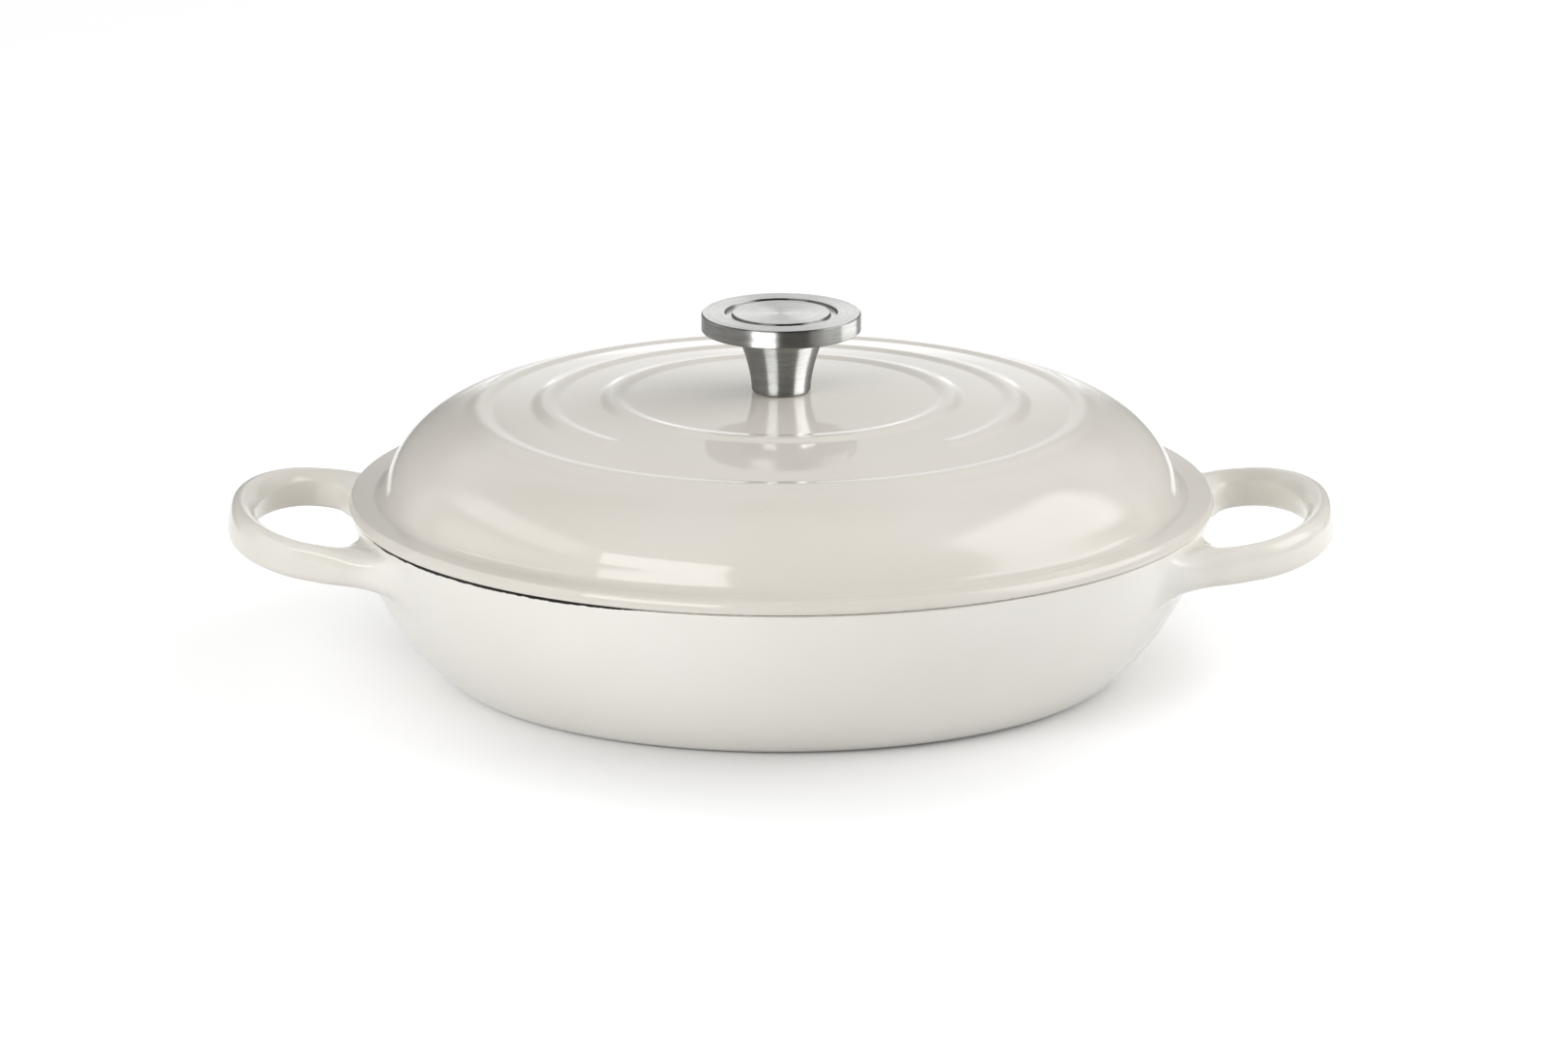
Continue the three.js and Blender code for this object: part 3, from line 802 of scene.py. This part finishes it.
def lid_profile(lid):
    """The lid's section, from the hole for the screw out along the underside and back over the top."""
    lean = math.radians(SIDE_LEAN)
    out, up = Vector((math.cos(lean), math.sin(lean))), Vector((-math.sin(lean), math.cos(lean)))
    rim_top = lid.seat + lid.rim_thickness
    side_foot = Vector((lid.radius - lid.rim_width, rim_top))
    crown = Vector((0, lid.top - CROWN_RADIUS))
    start = side_foot - out * SHOULDER_RADIUS
    apart = start - crown
    b = apart.dot(up)
    c = apart.length_squared - (CROWN_RADIUS - SHOULDER_RADIUS) ** 2
    shoulder = start + up * (-b + math.sqrt(b * b - c))
    turn_at = math.degrees(math.atan2(shoulder.y - crown.y, shoulder.x))
    edge = CROWN_RADIUS * math.cos(math.radians(turn_at))
    bore = SCREW_HOLE

    def on_crown(radius, r):
        return r, crown.y + math.sqrt(radius * radius - r * r)

    rows = [bore + (edge - bore) * i / UNDER_ROWS for i in range(UNDER_ROWS)]
    under = [on_crown(CROWN_RADIUS - lid.wall, r) for r in rows]
    under += arc(shoulder, SHOULDER_RADIUS - lid.wall, turn_at, SIDE_LEAN, 14)
    foot = side_foot - out * lid.wall
    foot -= up * ((foot.y - lid.seat) / up.y)
    rib_foot = lid.seat - RIB_DROP
    rib = [(RIB_INNER, lid.seat), (RIB_INNER_FOOT, rib_foot), (RIB_OUTER_FOOT, rib_foot)]
    rib += [(RIB_OUTER, lid.seat), (SEAT_EDGE, lid.seat)]
    rib = eased([under[-1], (foot.x, foot.y), *rib], RIB_ROUND)[1:]
    low = arc((lid.radius - EDGE_LOW, lid.seat + EDGE_LOW), EDGE_LOW, -90, EDGE_FROM, 6)
    rise = lid.rim_thickness - EDGE_LOW * (1 + sine(EDGE_FROM)) - EDGE_HIGH * (1 - sine(EDGE_TO))
    bulge = rise / (sine(EDGE_TO) - sine(EDGE_FROM))
    x, z = low[-1]
    face = arc((x - bulge * sine(90 - EDGE_FROM), z - bulge * sine(EDGE_FROM)), bulge,
               EDGE_FROM, EDGE_TO, 8)
    x, z = face[-1]
    high = arc((x - EDGE_HIGH * sine(90 - EDGE_TO), z - EDGE_HIGH * sine(EDGE_TO)), EDGE_HIGH,
               EDGE_TO, 90, 6)
    span = RIM_FILLET * (1 - out.y) / out.x
    centre = (side_foot.x + span, rim_top + RIM_FILLET)
    valley = arc(centre, RIM_FILLET, -90, -180 + SIDE_LEAN, 8)
    side = arc(shoulder, SHOULDER_RADIUS, SIDE_LEAN, turn_at, 26)
    radii = [edge - (edge - bore) * i / CROWN_ROWS for i in range(CROWN_ROWS + 1)]
    near = RING_SPAN * lid.ring_width
    for middle in RING_RADII:
        radii = [r for r in radii if abs(r - middle) > near]
        radii += [middle + near * i / RING_ROWS for i in range(-RING_ROWS, RING_ROWS + 1)]
    radii = [r for r in radii if r < edge - SHOULDER_GAP]
    top = [on_crown(CROWN_RADIUS, r) for r in sorted(radii, reverse=True)]
    profile = under + rib + low + face + high + valley + side + top + [under[0]]
    steps = zip(profile, profile[1:])
    return profile[:1] + [after for before, after in steps if math.dist(before, after) > LEAST_STEP]


def smooth_step(share):
    """Goes from 0 to 1 with level ends as the share goes from 0 to 1."""
    share = min(max(share, 0.0), 1.0)
    return share * share * (3 - 2 * share)


def ring_weight(lid, at):
    """How much of the ring height stands at a place on the crown."""
    radius = math.hypot(at.x, at.y)
    for i, middle in enumerate(RING_RADII):
        inside = lid.ring_width / 2 - abs(radius - middle)
        if inside > 0:
            swell = smooth_step(inside / lid.ring_edge)
            if i != BROKEN_RING:
                return swell
            past = abs(math.atan2(at.x, -at.y)) - lid.break_angle
            return swell * smooth_step(past / BREAK_FADE)
    return 0.0


class CASSEROLE_OT_lid(bpy.types.Operator):
    """Turns the lid and raises its three rings, the middle one bare at the front"""

    bl_idname = "casserole.make_lid"
    bl_label = "Make Lid"

    def execute(self, context):
        lid = context.scene.casserole_lid
        pot = context.scene.casserole_pot
        piece = turn("lid_casting", lid_profile(lid), LID_STEPS)
        raised = piece.vertex_groups.new(name="raised")
        for vertex in piece.data.vertices:
            if vertex.normal.z > 0.5 and vertex.co.z > lid.seat + CROWN_ABOVE:
                weight = ring_weight(lid, vertex.co)
                if weight:
                    raised.add([vertex.index], weight, "REPLACE")
        apply_modifier(piece, "DISPLACE", direction="Z", strength=lid.ring_height, mid_level=0.0,
                       vertex_group="raised")
        coat = enamel("lid_enamel", lid.enamel, lid.shade, pot.rim, *NO_BARE_EDGE)
        hand_over(piece, "lid", "lid", "enamel_lid", coat)
        return {"FINISHED"}


# Knob

# The disc: socket for the stem's spigot, bevel of its edges and groove, dish of its face, and rounds
SOCKET_RADIUS, SOCKET_DEPTH = 0.0063, 0.0029
BEVEL, DISC_ROUND = 0.0004, 0.00015
DISH_HALFWAY, DISH_MIDDLE = 0.0003, 0.0004

# The stem: round at its foot and other rounds, bore, curve of its flare, spigot, and gap on top
FOOT_ROUND, STEM_ROUND = 0.0012, 0.0003
BORE_DEPTH = 0.0125
FLARE_POWER, FLARE_ROWS = 1.6, 24
SPIGOT_RADIUS, DISC_GAP = 0.006, 0.0001

# The washer: where its profile starts, its rounds and its steps
WASHER_SEAM, WASHER_ROUND, WASHER_STEPS = 0.005, 0.0002, 96

# The screw: its head with a straight side and a dome, its shank, its tip, its rounds and its steps
HEAD_HEIGHT, HEAD_SIDE, HEAD_DOME = 0.0034, 0.0012, 0.0022
SHANK_RADIUS, TIP_RADIUS, TIP_LENGTH = 0.003, 0.0022, 0.001
SCREW_ROUND, SCREW_STEPS, DOME_ROWS = 0.0002, 72, 10

# The cross recess, turned by half a facet so that no corner of it meets an edge of the head
RECESS = (0.006, 0.0013, 0.0036)
RECESS_TURNS = (2.5, 92.5)


class CASSEROLE_OT_knob(bpy.types.Operator):
    """Turns the knob's disc and its flared stem"""

    bl_idname = "casserole.make_knob"
    bl_label = "Make Knob"

    def execute(self, context):
        knob = context.scene.casserole_knob
        steel = turned_steel("knob_steel", knob.steel, knob.shade)
        face = turned_steel("knob_face_painted_light", knob.face, knob.face_shade, dull=0.26, bright=0.2)
        cap = self.cap(knob)
        hand_over(cap, "lid", "knob_cap", "knob_steel", steel, face)
        # Faces that look up take the lighter copy: painted light on the top of the disc
        for polygon in cap.data.polygons:
            polygon.material_index = int(polygon.normal.z > 0.8)
        hand_over(self.stem(knob), "lid", "knob_stem", "knob_steel", steel)
        return {"FINISHED"}

    def cap(self, knob):
        """The disc, from the socket underneath round its edge and over its grooved face."""
        low, high = CAP_BOX[0].z, CAP_BOX[1].z
        radius = knob.radius
        outer = radius - knob.land
        inner = outer - knob.groove
        floor = high - knob.groove_depth
        roof = low + SOCKET_DEPTH
        profile = [(0, roof), (SOCKET_RADIUS, roof), (SOCKET_RADIUS, low), (radius - BEVEL, low)]
        profile += [(radius, low + BEVEL), (radius, high - BEVEL), (radius - BEVEL, high)]
        profile += [(outer, high), (outer - BEVEL, floor), (inner + BEVEL, floor), (inner, high)]
        profile += [(inner / 2, high - DISH_HALFWAY), (0, high - DISH_MIDDLE)]
        return turn("knob_disc", eased(profile, DISC_ROUND), knob.steps)

    def stem(self, knob):
        """The stem, from its bore round the foot and up the flare to the spigot."""
        low, high = STEM_BOX[0].z, STEM_BOX[1].z
        top = CAP_BOX[0].z - DISC_GAP
        tall = top - low
        bore_top = low + BORE_DEPTH
        bore = eased([(0, bore_top), (knob.bore, bore_top), (knob.bore, low)], STEM_ROUND)
        foot = arc((knob.foot_radius - FOOT_ROUND, low + FOOT_ROUND), FOOT_ROUND, -90, 0, 5)
        flare = []
        for i in range(1, FLARE_ROWS + 1):
            t = i / FLARE_ROWS
            height = low + FOOT_ROUND + (tall - FOOT_ROUND) * t
            flare.append((knob.foot_radius + knob.flare * t**FLARE_POWER, height))
        spigot = [(SPIGOT_RADIUS, top), (SPIGOT_RADIUS, high), (0, high)]
        end = eased(flare[-2:] + spigot, STEM_ROUND)[1:]
        return turn("knob_post", bore + foot + flare[:-1] + end, knob.steps)


class CASSEROLE_OT_fasteners(bpy.types.Operator):
    """Turns the screw and the washer that hold the knob from inside, and cuts the cross recess"""

    bl_idname = "casserole.make_fasteners"
    bl_label = "Make Fasteners"

    def execute(self, context):
        knob = context.scene.casserole_knob
        steel = turned_steel("fastener_steel", knob.steel, knob.shade)
        low, high, outer = WASHER_BOX[0].z, WASHER_BOX[1].z, WASHER_BOX[1].x
        seam = (WASHER_SEAM, low)
        ring = [seam, (outer, low), (outer, high), (knob.bore, high), (knob.bore, low), seam]
        washer = turn("washer", eased(ring, WASHER_ROUND), WASHER_STEPS)
        hand_over(washer, "lid", "screw_washer", "fastener_steel", steel)
        hand_over(self.screw(), "lid", "knob_screw", "fastener_steel", steel)
        return {"FINISHED"}

    def screw(self):
        """The screw, head down, with a cross cut into its dome."""
        low, top = SCREW_BOX[0].z, SCREW_BOX[1].z
        head = SCREW_BOX[1].x
        seat = low + HEAD_HEIGHT
        dome = []
        for i in range(DOME_ROWS + 1):
            angle = math.radians(90 * i / DOME_ROWS)
            dome.append((head * math.sin(angle), seat - HEAD_SIDE - HEAD_DOME * math.cos(angle)))
        body = [dome[-1], (head, seat), (SHANK_RADIUS, seat), (SHANK_RADIUS, top - TIP_LENGTH)]
        body += [(TIP_RADIUS, top), (0, top)]
        piece = turn("screw", dome[:-1] + eased(body, SCREW_ROUND), SCREW_STEPS)
        for angle in RECESS_TURNS:
            start_clean()
            turned = (0, 0, math.radians(angle))
            bpy.ops.mesh.primitive_cube_add(size=1, location=(0, 0, low), rotation=turned)
            cutter = sized_piece("recess", RECESS)
            apply_modifier(piece, "BOOLEAN", operation="DIFFERENCE", object=cutter, solver="EXACT")
            bpy.data.objects.remove(cutter)
        return piece


# Stage


def way_from(azimuth, elevation=0):
    """A direction from the part, by its angles in degrees round from the front and up."""
    across, rise = math.radians(azimuth), math.radians(elevation)
    level = math.cos(rise)
    return Vector((math.sin(across) * level, -math.cos(across) * level, math.sin(rise)))


# Where the lights point and the camera looks; the camera's sensor in millimetres and its far limit
LIGHT_AIM = Vector((0, 0, 0.07))
CAMERA_AIM = Vector((0.001, 0, 0.0532))
SENSOR_WIDTH, CLIP_END = 36, 40

# The floor: its size and its drop; the oval of painted shadow round the part, and the radii between
# which it is lifted
FLOOR_SIZE, FLOOR_DROP = 12, 0.0002
SHADOW_OVAL_SCALE, SHADOW_OVAL_SHIFT = (1.6, 1.0, 1.0), (-0.013, 0.0, 0.0)
LIFT_FROM, LIFT_TO = 0.115, 0.30

# Between which parts of a reflected ray's way the horizon, the ceiling, the room and the middle change
HORIZON_UP, CEILING_UP = (0.02, 0.10), (0.10, 0.34)
ROOM_BACK, MIDDLE_ASIDE = (0.3, 0.8), (0.08, 0.2)

# Shares of their size over which the softboxes fade
RIGHT_FADE, GLOW_FADE = 0.22, 0.3

# The knob's strips: elevation, distance and height; the cards: sizes, distances and how far they fade
STRIP_RISE, STRIP_DISTANCE, STRIP_HEIGHT = 1, 0.36, 0.15
KNOB_CARD, KNOB_CARD_AWAY = (0.34, 0.17), 0.33
WING_CARD, WING_CARD_AWAY = (0.66, 0.5), 0.72
SIDE_FADE, TOP_FADE = 0.16, 0.35


class CASSEROLE_OT_stage(bpy.types.Operator):
    """Lays the pale floor and sets the soft light and the camera"""

    bl_idname = "casserole.set_stage"
    bl_label = "Set Stage"

    def execute(self, context):
        stage = context.scene.casserole_stage
        self.lay_floor(stage)
        self.set_world(context.scene, stage)
        self.add_softbox("left_softbox", stage.left_power, azimuth=-35, elevation=27.5, distance=1.6,
                         size=(1.0, 0.31))
        right = self.add_softbox("right_softbox", stage.right_power, azimuth=91, elevation=30,
                                 distance=1.8, size=(2.25, 1.54))
        self.soften(right, RIGHT_FADE)
        glow = self.add_softbox("left_glow", stage.glow_power, azimuth=-90, elevation=31,
                                distance=1.8, size=(2.6, 0.62))
        self.soften(glow, GLOW_FADE)
        glow.visible_diffuse = False
        front = self.add_softbox("front_softbox", stage.front_power, azimuth=-45, elevation=18,
                                 distance=2.2, size=(2.0, 1.0))
        front.visible_glossy = False
        self.add_strip("disc_left", "knob_disc", stage.disc_left, azimuth=-24, width=0.22)
        self.add_strip("disc_right", "knob_disc", stage.disc_right, azimuth=114, width=0.26)
        self.add_strip("stem_left", "knob_post", stage.stem_left, azimuth=-30, width=0.22)
        self.add_strip("stem_right", "knob_post", stage.stem_right, azimuth=74, width=0.3)
        self.add_flag("front_flag", stage.front_flag, 18, KNOB_CARD_AWAY, KNOB_CARD)
        self.add_flag("left_flag", stage.left_flag, -75, KNOB_CARD_AWAY, KNOB_CARD)
        self.add_flag("left_wing", stage.left_wing, -146, WING_CARD_AWAY, WING_CARD)
        self.add_flag("right_wing", stage.right_wing, 146, WING_CARD_AWAY, WING_CARD)
        self.add_camera(context.scene, stage)
        context.scene.view_settings.view_transform = "Standard"
        return {"FINISHED"}

    def lay_floor(self, stage):
        """A pale floor, lifted towards white for the eye, the more the further from the part, which
        leaves a painted shadow round the part over the real one.
        """
        start_clean()
        # Just under the base, because two faces in one plane flicker
        bpy.ops.mesh.primitive_plane_add(size=FLOOR_SIZE, location=(0, 0, -FLOOR_DROP))
        floor = new_piece("floor")
        material, graph, surface = new_material("floor_paper")
        plain = graph.add("BsdfDiffuse", {"Color": stage.floor})
        shadow_oval = graph.vector("MULTIPLY_ADD", graph.place(), SHADOW_OVAL_SCALE, SHADOW_OVAL_SHIFT)[0]
        out = graph.vector("LENGTH", shadow_oval)["Value"]
        lift = graph.spread(out, LIFT_FROM, LIFT_TO, stage.lift, stage.far_lift, smooth=True)
        seen = graph.math("MULTIPLY", self.seen_rays(graph), lift)
        glow = graph.add("Emission", {"Color": (1, 1, 1), "Strength": seen})
        both = graph.add("AddShader", {0: plain.outputs[0], 1: glow.outputs[0]})
        graph.feed(surface, both.outputs[0])
        floor.data.materials.append(material)

    def seen_rays(self, graph):
        """One for rays that show the floor itself: straight, in a reflection or through glass."""
        path = graph.add("LightPath").outputs
        seen = graph.math("MAXIMUM", path["Is Camera Ray"], path["Is Glossy Ray"])
        return graph.math("MAXIMUM", seen, path["Is Transmission Ray"])

    def set_world(self, scene, stage):
        """White for the camera, even for soft light, and a backdrop and a dim room in reflections."""
        world = bpy.data.worlds.new("studio")
        scene.world = world
        world.use_nodes = True
        world.node_tree.nodes.clear()
        graph = Graph(world.node_tree)
        path = graph.add("LightPath").outputs
        shown = graph.math("MAXIMUM", path["Is Glossy Ray"], path["Is Transmission Ray"])
        way = graph.add("TexCoord").outputs["Generated"]
        toward = graph.add("SeparateXYZ", {"Vector": way}).outputs
        low = graph.spread(toward["Z"], *HORIZON_UP, stage.horizon, stage.backdrop, smooth=True)
        fall = stage.ceiling / stage.backdrop
        high = graph.spread(toward["Z"], *CEILING_UP, 1.0, fall, smooth=True)
        behind = graph.spread(toward["Y"], *ROOM_BACK, smooth=True)
        aside = graph.math("ABSOLUTE", toward["X"])
        middle = graph.spread(aside, *MIDDLE_ASIDE, 1.0, 0.0, smooth=True)
        sweep = graph.spread(middle, 0, 1, stage.ceiling, graph.math("MULTIPLY", low, high))
        room = graph.spread(behind, 0, 1, stage.room, sweep)
        unseen = graph.spread(shown, 0, 1, stage.fill, room)
        bright = graph.spread(path["Is Camera Ray"], 0, 1, unseen, 1.0)
        sky = graph.add("Background", {"Color": (1, 1, 1), "Strength": bright})
        graph.feed(graph.add("OutputWorld").inputs["Surface"], sky.outputs[0])

    def add_softbox(self, name, power, azimuth, elevation, distance, size):
        """An area light that faces the part, by its angles round from the front and up."""
        start_clean()
        way = way_from(azimuth, elevation)
        bpy.ops.object.light_add(type="AREA", location=LIGHT_AIM + way * distance)
        lamp = bpy.context.object
        lamp.name = lamp.data.name = name
        lamp.rotation_euler = way.to_track_quat("Z", "Y").to_euler()
        lamp.data.shape = "RECTANGLE"
        lamp.data.size, lamp.data.size_y = size
        lamp.data.energy = power
        return lamp

    def soften(self, lamp, margin):
        """Lets a softbox fade towards its edges over this share of its width and height."""
        lamp.data.use_nodes = True
        graph = Graph(lamp.data.node_tree)
        place = graph.add("NewGeometry").outputs["Parametric"]
        at = graph.add("SeparateXYZ", {"Vector": place}).outputs
        fade = 1.0
        for axis in ("X", "Y"):
            near = graph.math("MINIMUM", at[axis], graph.math("SUBTRACT", 1.0, at[axis]))
            fade = graph.math("MULTIPLY", graph.spread(near, 0.0, margin, smooth=True), fade)
        graph.feed(lamp.data.node_tree.nodes["Emission"].inputs["Strength"], fade)

    def add_strip(self, name, piece, power, azimuth, width):
        """A low strip light that lights one piece of the knob alone, and only in its reflections."""
        strip = self.add_softbox(name, power, azimuth, STRIP_RISE, STRIP_DISTANCE,
                                 (width, STRIP_HEIGHT))
        strip.visible_diffuse = strip.visible_camera = False
        lit = bpy.data.collections.new(name)
        lit.objects.link(bpy.data.objects[piece])
        strip.light_linking.receiver_collection = lit

    def add_flag(self, name, shade, azimuth, distance, size):
        """A grey card that only reflections show, as photographers set beside polished metal."""
        start_clean()
        way = way_from(azimuth)
        middle = way * distance + Vector((0, 0, size[1] / 2))
        bpy.ops.mesh.primitive_plane_add(size=1, location=middle)
        bpy.context.object.rotation_euler = way.to_track_quat("Z", "Y").to_euler()
        flag = sized_piece(name, (*size, 1))
        material, graph, surface = new_material(name)
        at = graph.add("SeparateXYZ", {"Vector": graph.add("TexCoord").outputs["UV"]}).outputs
        sides = graph.math("MULTIPLY", at["X"], graph.math("SUBTRACT", 1.0, at["X"]))
        top = graph.math("SUBTRACT", 1.0, at["Y"])
        fade = graph.spread(sides, 0.0, SIDE_FADE, smooth=True)
        fade = graph.math("MULTIPLY", fade, graph.spread(top, 0.0, TOP_FADE, smooth=True))
        clear = graph.add("BsdfTransparent").outputs[0]
        card = graph.add("BsdfDiffuse", {"Color": shade}).outputs[0]
        graph.feed(surface, graph.add("MixShader", {0: fade, 1: clear, 2: card}).outputs[0])
        flag.data.materials.append(material)
        flag.visible_camera = flag.visible_diffuse = flag.visible_shadow = False

    def add_camera(self, scene, stage):
        """A camera far off with a long lens, in front of the part and a little above it."""
        start_clean()
        way = Vector((0, -math.cos(stage.elevation), math.sin(stage.elevation)))
        bpy.ops.object.camera_add(location=CAMERA_AIM + way * stage.distance)
        camera = bpy.context.object
        camera.name = "camera"
        camera.rotation_euler = way.to_track_quat("Z", "Y").to_euler()
        camera.data.sensor_width = SENSOR_WIDTH
        camera.data.lens = stage.lens
        camera.data.clip_end = CLIP_END
        scene.camera = camera


class CASSEROLE_PT_panel(bpy.types.Panel):
    """The casserole's settings and the steps that make it"""

    bl_label = "Casserole"
    bl_space_type = "VIEW_3D"
    bl_region_type = "UI"
    bl_category = "Casserole"

    def draw(self, context):
        for title, operators, name in PANEL_ROWS:
            box = self.layout.box()
            box.label(text=title)
            settings = getattr(context.scene, name)
            for key in settings.__annotations__:
                box.prop(settings, key)
            for operator in operators:
                box.operator(operator.bl_idname)


PANEL_ROWS = (
    ("Pot", (CASSEROLE_OT_pot,), "casserole_pot"),
    ("Lid", (CASSEROLE_OT_lid,), "casserole_lid"),
    ("Knob", (CASSEROLE_OT_knob, CASSEROLE_OT_fasteners), "casserole_knob"),
    ("Stage", (CASSEROLE_OT_stage,), "casserole_stage"),
)
GROUPS = {
    "casserole_pot": PotSettings,
    "casserole_lid": LidSettings,
    "casserole_knob": KnobSettings,
    "casserole_stage": StageSettings,
}
CLASSES = (
    *GROUPS.values(),
    CASSEROLE_OT_pot,
    CASSEROLE_OT_lid,
    CASSEROLE_OT_knob,
    CASSEROLE_OT_fasteners,
    CASSEROLE_OT_stage,
    CASSEROLE_PT_panel,
)


def register():
    for cls in CLASSES:
        bpy.utils.register_class(cls)
    for name, group in GROUPS.items():
        setattr(bpy.types.Scene, name, PointerProperty(type=group))


def unregister():
    for name in GROUPS:
        delattr(bpy.types.Scene, name)
    for cls in reversed(CLASSES):
        bpy.utils.unregister_class(cls)


def main():
    register()
    bpy.ops.casserole.make_pot()
    bpy.ops.casserole.make_lid()
    bpy.ops.casserole.make_knob()
    bpy.ops.casserole.make_fasteners()
    bpy.ops.casserole.set_stage()


if __name__ == "__main__":
    main()
